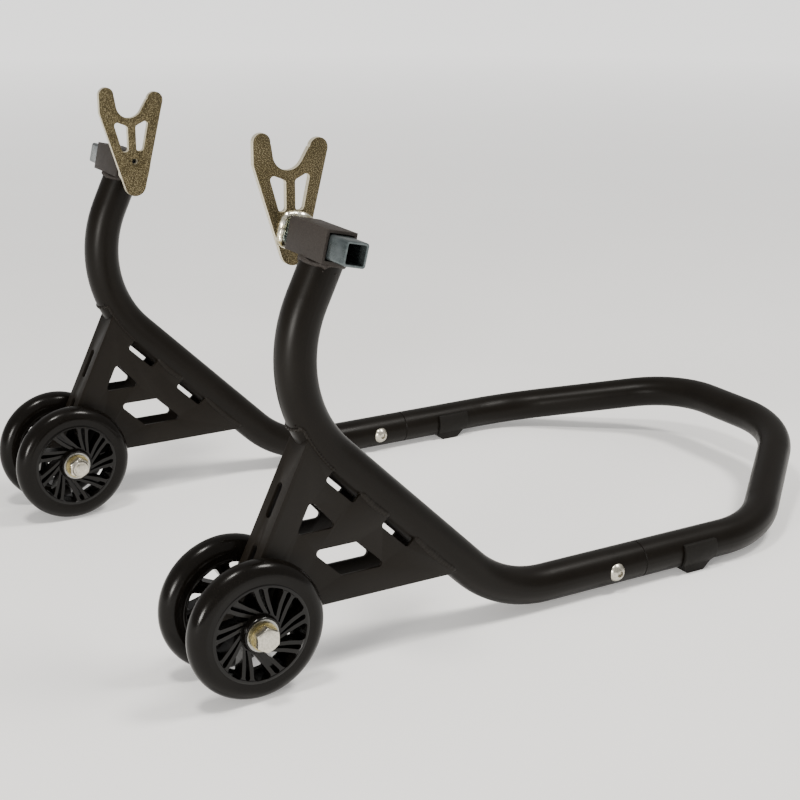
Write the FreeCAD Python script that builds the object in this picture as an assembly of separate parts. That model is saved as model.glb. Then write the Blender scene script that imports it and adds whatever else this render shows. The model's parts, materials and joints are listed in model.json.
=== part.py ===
import FreeCAD, Part
import math
import os

Vector = FreeCAD.Vector

# Rear-wheel paddock stand for a motorcycle.  Millimetres, +Z up, Y runs from the
# wheels (front) back to the handle, and the left half mirrors the right in X = 0.
# The origin is on the floor under the centre of the stand's outline.

# wheels
wheel_diameter = 120.0
tyre_width = 24.0
rim_radius = 43.0
rim_width = 23.0
rim_wall = 4.5
boss_radius = 15.8
boss_width = 27.4
spoke_count = 9
spoke_width = 5.0
spoke_depth = 18.0
spoke_foot_radius = 15.0
bearing_outer_radius = 14.0
bearing_width = 8.0
bearing_spacer_radius = 8.0
running_clearance = 0.05

# axle hardware, M12
axle_radius = 6.0
hole_clearance = 0.1
axle_hex_flats = 19.0
axle_head_height = 8.0
axle_nut_height = 10.5
axle_thread_end = 1.0
washer_radius = 12.0
head_washer_thickness = 2.5
nut_washer_thickness = 1.5
shim_radius = 9.5
shim_thickness = 1.0
moving_gap = 0.3
bush_radius = 9.0

# bent tubes
tube_radius = 17.5
tube_wall = 2.5
bend_radius = 118.5
arm_offset = 220.0
tube_floor_gap = 2.6
brow_y = 53.1
brow_z = 268.0
brow_turn = 25.0
diagonal_slope = 44.0
top_lip = 4.0
beyond = 400.0

# joint between arm and handle
seam_y = 413.0
spigot_radius = 14.8
spigot_wall = 2.5
spigot_length = 150.0
seam_chamfer = 0.7
joint_screw_setback = 35.0
joint_screw_radius = 5.0
joint_head_radius = 8.75
joint_head_height = 5.5
joint_head_sink = 1.2
joint_socket_flats = 6.0
joint_bush_radius = 8.0
joint_thread_length = 12.0

# handle loop, which rises to the back bar
handle_corner_y = 565.0
back_bar_y = 722.0
back_corner_x = 85.0
back_bar_rise = 38.5

# socket across each arm top and the square bar that slides in it
socket_y = 77.0
socket_z = 364.0
socket_lean = 13.0
socket_size = 27.0
socket_wall = 2.5
socket_length = 62.0
bar_size = 20.0
bar_wall = 2.0
bar_corner = 2.5
bar_outer_x = 277.0

# fork plate, in a plane across X
fork_outer_x = 176.0
fork_thickness = 5.0
fork_axis_y = 75.3
fork_bottom_z = 335.7
fork_bottom_radius = 11.0
fork_shoulder_y = 41.0
fork_shoulder_z = 420.0
front_tip_y = 48.6
front_tip_z = 437.0
front_tip_radius = 7.6
rear_tip_y = 99.0
rear_tip_z = 429.7
rear_tip_radius = 8.2
cup_y = 71.8
cup_z = 427.4
cup_radius = 13.8
window_tall = 25.0
window_sill_z = 380.5
rib_front_y = 69.4
rib_rear_y = 77.5
front_window_head = 15.5
front_window_foot = 6.5
rear_window_head = 14.3
rear_window_foot = 7.3
window_head_rise = 6.5
window_corner = 3.0
fork_hole_z = 370.6
fork_hole_radius = 2.8
fork_bead = 6.0
fork_bead_depth = 5.0

# clamp screw on the back of each socket, M8
clamp_radius = 4.0
clamp_nut_flats = 13.0
clamp_nut_height = 6.5
clamp_neck = 5.0
clamp_head_height = 5.3

# gusset: a folded channel that joins the arm to the axle
gusset_width = 28.0
gusset_plate = 3.0
gusset_axle_cover = 11.4
gusset_lobe = 15.0
gusset_bottom_z = 58.5
gusset_head_turn = 23.8
gusset_lobe_back_y = 30.0
slot_starts = (82.0, 155.0)
slot_length = 36.0
slot_floor = 22.0
slot_corner = 3.0
window_margin_front = 24.0
window_top_z = 154.0
window_floor_z = 125.5
window_slope_right_y = 84.0
lower_left_y = 58.5
lower_right_y = 102.0
lower_top_z = 109.0
lower_floor_z = 81.0
cutout_corner = 3.5
web_slot_width = 8.0
web_slots = ((60.0, 29.0), (115.0, 31.0))

# weld beads
bead_radius = 2.6
bead_sink = 1.0
rear_bead_length = 60.0

# rubber feet under the handle sides
foot_front_y = 458.0
foot_back_y = 497.0
foot_flat_front_y = 464.0
foot_flat_back_y = 484.0
foot_wall = 3.0
foot_wrap_height = 10.0
tread_margin = 4.0
foot_end_height = 8.0

wheel_radius = wheel_diameter / 2.0
tube_z = tube_radius + tube_floor_gap
overall_length = wheel_radius + back_bar_y + tube_radius
axle_y = wheel_radius - overall_length / 2.0
wheel_offset = gusset_width / 2.0 + shim_thickness + moving_gap + boss_width / 2.0
hub_face = wheel_offset + boss_width / 2.0 + moving_gap
arm_center_y = brow_y + bend_radius


def at(x, y, z):
    """A point whose y is measured back from the axle line."""
    return Vector(x, axle_y + y, z)


def sideways(radius, length, x, y, z):
    """A cylinder along +X that starts at the given point."""
    return Part.makeCylinder(radius, length, at(x, y, z), Vector(1, 0, 0))


def ring(outer, inner, width, x, y, z):
    body = sideways(outer, width, x, y, z)
    return body.cut(sideways(inner, width, x, y, z))


def hexagon(flats, height, base, direction):
    """A hexagonal prism standing on base."""
    radius = flats / math.sqrt(3.0)
    corners = []
    for step in range(7):
        angle = math.radians(60.0 * step)
        corners.append(Vector(radius * math.cos(angle), radius * math.sin(angle), 0))
    prism = Part.Face(Part.makePolygon(corners)).extrude(Vector(0, 0, height))
    turn = FreeCAD.Rotation(Vector(0, 0, 1), direction)
    prism.Placement = FreeCAD.Placement(base, turn)
    return prism


def chamfered_hexagon(flats, height, base, direction):
    """A bolt head: the prism's outer corners are turned off at 30 degrees."""
    prism = hexagon(flats, height, base, direction)
    crown = flats * 0.47
    wide = crown + height / math.tan(math.radians(30.0))
    return prism.common(Part.makeCone(wide, crown, height, base, direction))


def bent_path(points, radius):
    """Straight runs joined by arcs of one bend radius."""
    edges = []
    start = points[0]
    for before, corner, after in zip(points, points[1:], points[2:]):
        incoming = (before - corner).normalize()
        outgoing = (after - corner).normalize()
        half = incoming.getAngle(outgoing) / 2.0
        reach = radius / math.tan(half)
        middle = (incoming + outgoing).normalize()
        centre = corner + middle * (radius / math.sin(half))
        first = corner + incoming * reach
        last = corner + outgoing * reach
        edges.append(Part.makeLine(start, first))
        edges.append(Part.Arc(first, centre - middle * radius, last).toShape())
        start = last
    edges.append(Part.makeLine(start, points[-1]))
    return Part.Wire(edges)


def swept(path, radius):
    first = path.Edges[0]
    start = first.valueAt(first.FirstParameter)
    along = first.tangentAt(first.FirstParameter)
    circle = Part.Wire(Part.makeCircle(radius, start, along))
    return path.makePipeShell([circle], True, False)


def outline(points):
    """A closed face from points in order; the last joins the first."""
    return Part.Face(Part.makePolygon(points + points[:1]))


def rounded(face_points, radius, depth):
    """A prism across X whose corners along X are rounded."""
    prism = outline(face_points).extrude(Vector(depth, 0, 0))
    across = [e for e in prism.Edges if abs(e.tangentAt(e.FirstParameter).x) > 0.99]
    return prism.makeFillet(radius, across)


def square_bar(x, length, size, corner):
    """A square section along X, leaning back with the socket."""
    half = size / 2.0
    box = Part.makeBox(length, size, size, Vector(x, -half, -half))
    if corner > 0:
        along = [e for e in box.Edges if abs(e.tangentAt(e.FirstParameter).x) > 0.99]
        box = box.makeFillet(corner, along)
    return lean_back(box)


def lean_back(shape):
    """From the socket's own axes to the stand's."""
    turn = FreeCAD.Rotation(Vector(1, 0, 0), -socket_lean)
    shape.Placement = FreeCAD.Placement(at(0, socket_y, socket_z), turn)
    return shape


def arm_points():
    """Corners of the arm's centre line, from the socket down to the seam."""
    turn = math.radians(brow_turn)
    slope = math.radians(diagonal_slope)
    lean = Vector(0, math.sin(turn), math.cos(turn))
    fall = Vector(0, math.cos(slope), -math.sin(slope))
    arc_top_y = arm_center_y - bend_radius * math.cos(turn)
    arc_top_z = brow_z + bend_radius * math.sin(turn)
    half_sweep = (turn + math.pi / 2.0 - slope) / 2.0
    reach = bend_radius * math.tan(half_sweep)
    brow = at(arm_offset, arc_top_y, arc_top_z) - lean * reach
    top = brow + lean * ((socket_z - brow.z) / lean.z)
    fall_length = (brow.z - tube_z) / -fall.z
    low = brow + fall * fall_length
    return [top, brow, low, at(arm_offset, seam_y, tube_z)]


def handle_points():
    high_z = tube_z + back_bar_rise
    right = [at(arm_offset, seam_y, tube_z),
             at(arm_offset, handle_corner_y, tube_z),
             at(back_corner_x, back_bar_y, high_z)]
    left = [Vector(-p.x, p.y, p.z) for p in reversed(right)]
    return right + left


def joint_screw_y():
    return seam_y - joint_screw_setback


def arm_solid():
    """The arm as a full bar, cut level with the seam and round the socket."""
    body = swept(bent_path(arm_points(), bend_radius), tube_radius)
    return body.cut(above_socket_lip()).cut(socket_block())


def socket_block():
    return square_bar(arm_offset - socket_length / 2.0, socket_length, socket_size, 0)


def above_socket_lip():
    """The space higher than the lip that the arm's end wraps round the socket."""
    low = -socket_size / 2.0 + top_lip
    corner = Vector(arm_offset - beyond / 2.0, -beyond / 2.0, low)
    return lean_back(Part.makeBox(beyond, beyond, beyond, corner))


def arm():
    path = bent_path(arm_points(), bend_radius)
    shell = swept(path, tube_radius).cut(swept(path, tube_radius - tube_wall))
    shell = shell.cut(above_socket_lip()).cut(socket_block())
    shell = shell.cut(joint_screw_hole(joint_screw_radius + hole_clearance))
    return shell.cut(seam_bevel(arm_offset, 1.0))


def seam_bevel(x, toward_handle):
    """The ring turned off a tube's end, so that the seam shows as a fine groove."""
    along = Vector(0, toward_handle, 0)
    end = at(x, seam_y, tube_z)
    start = end - along * seam_chamfer
    cone = Part.makeCone(tube_radius, tube_radius - seam_chamfer, seam_chamfer, start, along)
    return Part.makeCylinder(tube_radius + seam_chamfer, seam_chamfer, start, along).cut(cone)


def handle_tube():
    path = bent_path(handle_points(), bend_radius)
    shell = swept(path, tube_radius).cut(swept(path, tube_radius - tube_wall))
    for x in (arm_offset, -arm_offset):
        shell = shell.cut(seam_bevel(x, -1.0))
    return shell


def joint_screw_hole(radius):
    return sideways(radius, 4.0 * tube_radius, arm_offset - 2.0 * tube_radius,
                    joint_screw_y(), tube_z)


def spigot():
    start = at(arm_offset, seam_y - spigot_length / 2.0, tube_z)
    along = Vector(0, 1, 0)
    body = Part.makeCylinder(spigot_radius, spigot_length, start, along)
    body = body.cut(Part.makeCylinder(spigot_radius - spigot_wall, spigot_length, start, along))
    return body.cut(joint_screw_hole(joint_bush_radius))


def spigot_bush():
    """The tapped cross bush that both joint screws run into."""
    half = math.sqrt(spigot_radius ** 2 - joint_bush_radius ** 2)
    return ring(joint_bush_radius, joint_screw_radius, 2.0 * half,
                arm_offset - half, joint_screw_y(), tube_z)


def joint_screws():
    """A button-head screw from each side of the joint."""
    seat = tube_radius - joint_head_sink
    cap_radius = (joint_head_radius ** 2 + joint_head_height ** 2) / (2.0 * joint_head_height)
    screws = []
    for facing in (1, -1):
        base = at(arm_offset + facing * seat, joint_screw_y(), tube_z)
        out = Vector(facing, 0, 0)
        head = Part.makeSphere(cap_radius, base + out * (joint_head_height - cap_radius))
        head = head.common(Part.makeCylinder(joint_head_radius, 2.0 * joint_head_height, base, out))
        seated = base - out * joint_thread_length
        shank = Part.makeCylinder(joint_screw_radius - running_clearance, joint_thread_length,
                                  seated, out)
        recess_floor = base + out * (joint_head_height * 0.4)
        recess = hexagon(joint_socket_flats, joint_head_height, recess_floor, out)
        screw = head.fuse(shank).cut(recess)
        screws.append(screw.cut(tube_wall_near_joint()))
    return Part.makeCompound(screws)


def tube_wall_near_joint():
    """The tube wall under the screw heads, so that the heads seat on its curve."""
    start = at(arm_offset, joint_screw_y() - 20.0, tube_z)
    along = Vector(0, 1, 0)
    wall = Part.makeCylinder(tube_radius, 40.0, start, along)
    wall = wall.cut(Part.makeCylinder(tube_radius - tube_wall, 40.0, start, along))
    return wall.cut(joint_screw_hole(joint_screw_radius))


def socket():
    block = socket_block()
    inside = socket_size - 2.0 * socket_wall
    block = block.cut(square_bar(arm_offset - socket_length, 2.0 * socket_length, inside, 0))
    hole = Part.makeCylinder(clamp_radius + hole_clearance, socket_size,
                             Vector(arm_offset, 0, 0), Vector(0, 1, 0))
    return block.cut(lean_back(hole))


def socket_weld():
    """The bead round the arm's end, under the socket."""
    top, brow = arm_points()[:2]
    along = (top - brow).normalize()
    level = -socket_size / 2.0 - bead_radius
    lift = (level - socket_axes_height(brow)) / socket_axes_height(brow + along, brow)
    centre = brow + along * lift
    bead = Part.makeTorus(tube_radius, bead_radius, centre, socket_up())
    return bead.cut(arm_solid()).cut(socket_block())


def socket_up():
    lean = math.radians(socket_lean)
    return Vector(0, math.sin(lean), math.cos(lean))


def socket_axes_height(point, origin=None):
    """Height along the socket's own upright axis."""
    start = origin or at(arm_offset, socket_y, socket_z)
    return (point - start).dot(socket_up())


def clamp_nut():
    rear = socket_size / 2.0
    body = hexagon(clamp_nut_flats, clamp_nut_height, Vector(arm_offset, rear, 0), Vector(0, 1, 0))
    hole = Part.makeCylinder(clamp_radius, clamp_nut_height, Vector(arm_offset, rear, 0),
                             Vector(0, 1, 0))
    return lean_back(body.cut(hole))


def clamp_screw():
    """Stands clear of the bar by the moving gap; tightening it grips the bar."""
    tip = bar_size / 2.0 + moving_gap
    head = socket_size / 2.0 + clamp_nut_height + clamp_neck
    shank = Part.makeCylinder(clamp_radius - running_clearance, head - tip,
                              Vector(arm_offset, tip, 0), Vector(0, 1, 0))
    crown = chamfered_hexagon(clamp_nut_flats, clamp_head_height, Vector(arm_offset, head, 0),
                              Vector(0, 1, 0))
    return lean_back(shank.fuse(crown))


def fork_bar():
    length = bar_outer_x - fork_outer_x
    outer = square_bar(fork_outer_x, length, bar_size, bar_corner)
    inner = square_bar(fork_outer_x, length, bar_size - 2.0 * bar_wall, bar_corner / 2.0)
    return outer.cut(inner)


def fork_weld():
    """The bead that joins the bar's end to the fork plate."""
    wide = bar_size + 2.0 * fork_bead
    base = square_bar(fork_outer_x, fork_bead_depth, wide, bar_corner + fork_bead * 0.7)
    edges = [e for e in base.Edges if e.BoundBox.XMin > fork_outer_x + fork_bead_depth - 0.01]
    base = base.makeChamfer(fork_bead_depth * 0.8, edges)
    hollow = square_bar(fork_outer_x, fork_bead_depth, bar_size - 2.0 * bar_wall, bar_corner / 2.0)
    return base.cut(hollow).cut(fork_bar())


def tangent_normal(gap, reach, side):
    """The direction, square to a tangent line, from a circle's centre to its touching point."""
    swing = math.degrees(math.acos(reach / gap.Length))
    return FreeCAD.Rotation(Vector(1, 0, 0), side * swing).multVec(gap.normalize())


def tangent_point(near, far, radius):
    """Where a line from far touches the circle round near."""
    return near + tangent_normal(far - near, radius, 1) * radius


def fork_plate():
    """A tapering plate with a round cup between two fingers and two tall windows."""
    x = fork_outer_x - fork_thickness
    front = at(x, front_tip_y, front_tip_z)
    rear = at(x, rear_tip_y, rear_tip_z)
    bottom = at(x, fork_axis_y, fork_bottom_z + fork_bottom_radius)
    cup = at(x, cup_y, cup_z)
    shoulder = at(x, fork_shoulder_y, fork_shoulder_z)
    rounds = ((front, front_tip_radius), (rear, rear_tip_radius), (bottom, fork_bottom_radius))
    rear_edge = common_tangent(rear, rear_tip_radius, bottom, fork_bottom_radius)
    fingers = outline([shoulder, front - Vector(0, front_tip_radius, 0), front, rear,
                       rear_edge[0], rear_edge[1], bottom,
                       tangent_point(bottom, shoulder, fork_bottom_radius)])
    plate = fingers.extrude(Vector(fork_thickness, 0, 0))
    for centre, radius in rounds:
        plate = plate.fuse(Part.makeCylinder(radius, fork_thickness, centre, Vector(1, 0, 0)))
    plate = plate.cut(fork_notch(cup, front, rear))
    for window in fork_windows(x):
        plate = plate.cut(window)
    hole = Part.makeCylinder(fork_hole_radius, fork_thickness, at(x, fork_axis_y, fork_hole_z),
                             Vector(1, 0, 0))
    return plate.cut(hole).removeSplitter()


def common_tangent(first, first_radius, second, second_radius):
    """The two touching points of a line that runs along the same side of two circles."""
    normal = tangent_normal(second - first, first_radius - second_radius, 1)
    return first + normal * first_radius, second + normal * second_radius


def crossing_tangent(first, first_radius, second, second_radius, side):
    """The two touching points of a line that passes between two circles."""
    normal = tangent_normal(second - first, first_radius + second_radius, side)
    return first + normal * first_radius, second - normal * second_radius


def fork_notch(cup, front, rear):
    """The open space between the fingers, with the round cup at its foot."""
    front_line = crossing_tangent(front, front_tip_radius, cup, cup_radius, 1)
    rear_line = crossing_tangent(rear, rear_tip_radius, cup, cup_radius, -1)
    rise = Vector(0, 0, 30.0)
    space = outline([front_line[0] + (front_line[0] - front_line[1]), front_line[1], cup,
                     rear_line[1], rear_line[0] + (rear_line[0] - rear_line[1]),
                     rear_line[0] + rise, front_line[0] + rise])
    space = space.extrude(Vector(fork_thickness, 0, 0))
    disc = Part.makeCylinder(cup_radius, fork_thickness, cup, Vector(1, 0, 0))
    for tip, radius in ((front, front_tip_radius), (rear, rear_tip_radius)):
        space = space.cut(Part.makeCylinder(radius, fork_thickness, tip, Vector(1, 0, 0)))
    return space.fuse(disc)


def fork_windows(x):
    top = window_sill_z + window_tall
    front = [at(x, rib_front_y, top),
             at(x, rib_front_y - front_window_head, top + window_head_rise),
             at(x, rib_front_y - front_window_foot, window_sill_z),
             at(x, rib_front_y, window_sill_z)]
    rear = [at(x, rib_rear_y, top),
            at(x, rib_rear_y + rear_window_head, top + window_head_rise),
            at(x, rib_rear_y + rear_window_foot, window_sill_z),
            at(x, rib_rear_y, window_sill_z)]
    return [rounded(front, window_corner, fork_thickness),
            rounded(rear, window_corner, fork_thickness)]


def gusset_web_line():
    """Foot and head of the folded front edge, on the arm's centre plane."""
    turn = math.radians(gusset_head_turn)
    head = at(arm_offset, arm_center_y - bend_radius * math.cos(turn),
              brow_z - bend_radius * math.sin(turn))
    axle = at(arm_offset, 0, wheel_radius)
    foot = tangent_point(axle, head, gusset_axle_cover)
    return foot, head


def gusset_profile():
    """One side of the channel, between its front fold, the arm and the bottom edge."""
    foot, head = gusset_web_line()
    brow, low = arm_points()[1:3]
    fall = (low - brow).normalize()
    rear = brow + fall * ((brow.z - gusset_bottom_z) / -fall.z)
    along_arc = []
    for share in (0.33, 0.66, 1.0):
        turn = math.radians(gusset_head_turn + share * (90.0 - diagonal_slope - gusset_head_turn))
        along_arc.append(at(arm_offset, arm_center_y - bend_radius * math.cos(turn),
                            brow_z - bend_radius * math.sin(turn)))
    axle_bottom = at(arm_offset, 0, wheel_radius - gusset_lobe)
    return [foot, head] + along_arc + [rear, at(arm_offset, gusset_lobe_back_y, gusset_bottom_z),
                                       axle_bottom, at(arm_offset, -gusset_axle_cover, wheel_radius - 6.0)]


def across_gusset(points, depth=gusset_width):
    """A prism across the whole channel from an outline on its centre plane."""
    shift = Vector(-depth / 2.0, 0, 0)
    return outline([p + shift for p in points]).extrude(Vector(depth, 0, 0))


def arm_slots():
    """Gaps between the welds: notches that stop at the tube."""
    brow, low = arm_points()[1:3]
    fall = (low - brow).normalize()
    under = Vector(0, fall.z, -fall.y)
    prisms = []
    for start in slot_starts:
        first = brow + fall * start
        last = first + fall * slot_length
        corners = [first, last, last + under * slot_floor, first + under * slot_floor]
        shift = Vector(-gusset_width / 2.0, 0, 0)
        prisms.append(rounded([p + shift for p in corners], slot_corner, gusset_width))
    return prisms


def side_cutouts():
    x = arm_offset - gusset_width / 2.0
    foot, head = gusset_web_line()
    rise = (head - foot).normalize()
    inward = Vector(0, rise.z, -rise.y) * window_margin_front
    top = foot + inward + rise * ((window_top_z - foot.z - inward.z) / rise.z)
    low = foot + inward + rise * ((window_floor_z - foot.z - inward.z) / rise.z)
    triangle = [Vector(x, top.y, top.z), Vector(x, low.y, low.z),
                at(x, window_slope_right_y, window_floor_z)]
    drop = (lower_top_z - lower_floor_z) / math.tan(math.radians(diagonal_slope))
    parallelogram = [at(x, lower_left_y, lower_top_z), at(x, lower_right_y, lower_top_z),
                     at(x, lower_right_y + drop, lower_floor_z),
                     at(x, lower_left_y + drop, lower_floor_z)]
    return [rounded(triangle, cutout_corner, gusset_width),
            rounded(parallelogram, cutout_corner, gusset_width)]


def web_cutouts():
    """Two long slots up the middle of the folded front."""
    foot, head = gusset_web_line()
    rise = (head - foot).normalize()
    slots = []
    for start, length in web_slots:
        base = foot + rise * (start - length)
        box = Part.makeBox(web_slot_width, 40.0, length, Vector(-web_slot_width / 2.0, -20.0, 0))
        edges = [e for e in box.Edges if abs(e.tangentAt(e.FirstParameter).y) > 0.99]
        box = box.makeFillet(web_slot_width / 2.0 - 0.2, edges)
        turn = FreeCAD.Rotation(Vector(0, 0, 1), rise)
        box.Placement = FreeCAD.Placement(base, turn)
        slots.append(box)
    return slots


def gusset():
    solid = across_gusset(gusset_profile())
    lobe = sideways(gusset_lobe, gusset_width, arm_offset - gusset_width / 2.0, 0, wheel_radius)
    solid = solid.fuse(lobe)
    foot, head = gusset_web_line()
    rise = (head - foot).normalize()
    inward = Vector(0, rise.z, -rise.y) * gusset_plate
    inner_width = gusset_width - 2.0 * gusset_plate
    channel = [foot + inward - rise * beyond, foot + inward + rise * beyond,
               foot + Vector(0, beyond, beyond), foot + Vector(0, beyond, -beyond)]
    solid = solid.cut(across_gusset(channel, inner_width))
    in_front = [foot - rise * beyond, foot + rise * beyond,
                foot + Vector(0, -beyond, beyond), foot + Vector(0, -beyond, -beyond)]
    solid = solid.cut(across_gusset(in_front))
    for cutout in arm_slots() + side_cutouts() + web_cutouts():
        solid = solid.cut(cutout)
    bore = sideways(axle_radius + hole_clearance, gusset_width,
                    arm_offset - gusset_width / 2.0, 0, wheel_radius)
    return solid.cut(bore).cut(arm_solid()).removeSplitter()


def gusset_weld():
    """Beads along both sides of the channel where it meets the diagonal tube."""
    brow, low = arm_points()[1:3]
    fall = (low - brow).normalize()
    under = Vector(0, fall.z, -fall.y)
    half = gusset_width / 2.0
    drop = math.sqrt(tube_radius ** 2 - half ** 2) + bead_sink
    runs = ((slot_starts[0] + slot_length, slot_starts[1]),
            (slot_starts[1] + slot_length, slot_starts[1] + slot_length + rear_bead_length))
    plates = gusset()
    tube = arm_solid()
    beads = []
    for start, end in runs:
        for facing in (1, -1):
            base = brow + fall * start + under * drop + Vector(facing * half, 0, 0)
            bead = Part.makeCylinder(bead_radius, end - start, base, fall)
            beads.append(bead.cut(plates).cut(tube))
    return Part.makeCompound(largest_solids(beads))


def largest_solids(shapes):
    """The main solid of each shape, without the slivers that a cut leaves."""
    return [max(shape.Solids, key=lambda solid: solid.Volume) for shape in shapes]


def rear_foot():
    """A half-round rubber saddle with a flat tread, under the handle's side."""
    length = foot_back_y - foot_front_y
    start = at(arm_offset, foot_front_y, tube_z)
    along = Vector(0, 1, 0)
    shell = Part.makeCylinder(tube_radius + foot_wall, length, start, along)
    width = tube_radius + foot_wall
    tread = Part.makeBox(2.0 * (width - tread_margin), length, tube_z,
                         at(arm_offset - width + tread_margin, foot_front_y, 0))
    body = shell.fuse(tread)
    top = Part.makeBox(4.0 * width, 2.0 * length, 2.0 * width,
                       at(arm_offset - 2.0 * width, foot_front_y - length / 2.0,
                          tube_z + foot_wrap_height))
    under = Part.makeBox(4.0 * width, 2.0 * length, width,
                         at(arm_offset - 2.0 * width, foot_front_y - length / 2.0, -width))
    body = body.cut(top).cut(under)
    for wedge in foot_tapers(width):
        body = body.cut(wedge)
    body = body.cut(Part.makeCylinder(tube_radius, 3.0 * length, start - along * length, along))
    return body.removeSplitter()


def foot_tapers(width):
    """Wedges that lift the tread's two ends off the floor."""
    x = arm_offset - 2.0 * width
    lift = tube_z - foot_end_height
    back = [at(x, foot_flat_back_y, 0), at(x, foot_back_y, lift), at(x, foot_back_y + 5.0, lift),
            at(x, foot_back_y + 5.0, -1.0), at(x, foot_flat_back_y, -1.0)]
    front = [at(x, foot_flat_front_y, 0), at(x, foot_front_y, lift), at(x, foot_front_y - 5.0, lift),
             at(x, foot_front_y - 5.0, -1.0), at(x, foot_flat_front_y, -1.0)]
    return [outline(points).extrude(Vector(4.0 * width, 0, 0)) for points in (back, front)]


def tyre():
    """A polyurethane tread with flat flanks and a half-round crown, about X."""
    half = tyre_width / 2.0
    crown = wheel_radius - half
    left = Vector(-half, 0, rim_radius)
    right = Vector(half, 0, rim_radius)
    crown_left = Vector(-half, 0, crown)
    crown_right = Vector(half, 0, crown)
    edges = [Part.makeLine(left, crown_left),
             Part.Arc(crown_left, Vector(0, 0, wheel_radius), crown_right).toShape(),
             Part.makeLine(crown_right, right),
             Part.makeLine(right, left)]
    return Part.Face(Part.Wire(edges)).revolve(Vector(0, 0, 0), Vector(1, 0, 0), 360)


def centred_ring(outer, inner, width):
    body = Part.makeCylinder(outer, width, Vector(-width / 2.0, 0, 0), Vector(1, 0, 0))
    return body.cut(Part.makeCylinder(inner, width, Vector(-width / 2.0, 0, 0), Vector(1, 0, 0)))


def hub():
    """Rim, boss and spokes moulded in one, with a bearing seat at each end."""
    body = centred_ring(rim_radius, rim_radius - rim_wall, rim_width)
    spoke_length = rim_radius - rim_wall / 2.0 - spoke_foot_radius
    for step in range(spoke_count):
        corner = Vector(-spoke_depth / 2.0, -spoke_width / 2.0, spoke_foot_radius)
        spoke = Part.makeBox(spoke_depth, spoke_width, spoke_length, corner)
        spoke.rotate(Vector(0, 0, 0), Vector(1, 0, 0), step * 360.0 / spoke_count)
        body = body.fuse(spoke)
    body = body.fuse(centred_ring(boss_radius, bearing_spacer_radius + 1.0, boss_width))
    for end in (-1, 1):
        start = end * boss_width / 2.0
        seat = Part.makeCylinder(bearing_outer_radius, bearing_width, Vector(start, 0, 0),
                                 Vector(-end, 0, 0))
        body = body.cut(seat)
    return body.removeSplitter()


def bearings():
    """A sealed ball bearing at each end of the hub."""
    pair = []
    for end in (-1, 1):
        body = centred_ring(bearing_outer_radius, axle_radius + running_clearance, bearing_width)
        body.translate(Vector(end * (boss_width - bearing_width) / 2.0, 0, 0))
        pair.append(body)
    return Part.makeCompound(pair)


def bearing_spacer():
    return centred_ring(bearing_spacer_radius, axle_radius + running_clearance,
                        boss_width - 2.0 * bearing_width)


def axle_bolt():
    """A hexagon bolt with its head on the stand's outer side."""
    head_x = arm_offset + hub_face + head_washer_thickness
    end_x = arm_offset - hub_face - nut_washer_thickness - axle_nut_height - axle_thread_end
    shank = sideways(axle_radius, head_x - end_x, end_x, 0, wheel_radius)
    head = chamfered_hexagon(axle_hex_flats, axle_head_height, at(head_x, 0, wheel_radius),
                             Vector(1, 0, 0))
    return shank.fuse(head)


def axle_nut():
    """A lock nut: a hexagon with a round collar that holds the nylon ring."""
    face = arm_offset - hub_face - nut_washer_thickness
    collar = 3.0
    height = axle_nut_height - collar
    inward = Vector(-1, 0, 0)
    body = chamfered_hexagon(axle_hex_flats, height, at(face, 0, wheel_radius), inward)
    crown = Part.makeCone(axle_hex_flats * 0.46, axle_hex_flats * 0.4, collar,
                          at(face - height, 0, wheel_radius), inward)
    bore = Part.makeCylinder(axle_radius, axle_nut_height, at(face, 0, wheel_radius), inward)
    return body.fuse(crown).cut(bore)


def axle_washers():
    bore = axle_radius + hole_clearance
    half = gusset_width / 2.0
    rings = [ring(washer_radius, bore, head_washer_thickness, arm_offset + hub_face, 0, wheel_radius),
             ring(washer_radius, bore, nut_washer_thickness,
                  arm_offset - hub_face - nut_washer_thickness, 0, wheel_radius),
             ring(shim_radius, bore, shim_thickness, arm_offset + half, 0, wheel_radius),
             ring(shim_radius, bore, shim_thickness, arm_offset - half - shim_thickness, 0,
                  wheel_radius)]
    return Part.makeCompound(rings)


def axle_bush():
    """Keeps the gusset's sides apart when the axle bolt is tightened."""
    inner_width = gusset_width - 2.0 * gusset_plate
    room = gusset_axle_cover - gusset_plate
    return ring(min(bush_radius, room), axle_radius + hole_clearance, inner_width,
                arm_offset - inner_width / 2.0, 0, wheel_radius)


def mirrored(shape):
    return shape.mirror(Vector(0, 0, 0), Vector(1, 0, 0))


def export(name, shape):
    shape.exportStep("parts/" + name + ".step")


def export_sides(name, shape):
    export(name + "_right", shape)
    export(name + "_left", mirrored(shape))


def export_wheels():
    pieces = {"tyre": tyre(), "hub": hub(), "bearings": bearings(), "bearing_spacer": bearing_spacer()}
    for place, offset in (("outer", wheel_offset), ("inner", -wheel_offset)):
        for name, piece in pieces.items():
            shape = piece.copy()
            shape.translate(at(arm_offset + offset, 0, wheel_radius))
            export_sides(name + "_" + place, shape)


def main():
    os.makedirs("parts", exist_ok=True)
    sides = {"arm": arm, "socket": socket, "socket_weld": socket_weld,
             "clamp_nut": clamp_nut, "clamp_screw": clamp_screw,
             "fork_bar": fork_bar, "fork_plate": fork_plate, "fork_weld": fork_weld,
             "gusset": gusset, "gusset_weld": gusset_weld,
             "spigot": spigot, "spigot_bush": spigot_bush, "joint_screws": joint_screws,
             "rear_foot": rear_foot,
             "axle_bolt": axle_bolt, "axle_nut": axle_nut, "axle_washers": axle_washers,
             "axle_bush": axle_bush}
    for name, build in sides.items():
        export_sides(name, build())
    export("handle_tube", handle_tube())
    export_wheels()


main()
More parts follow.
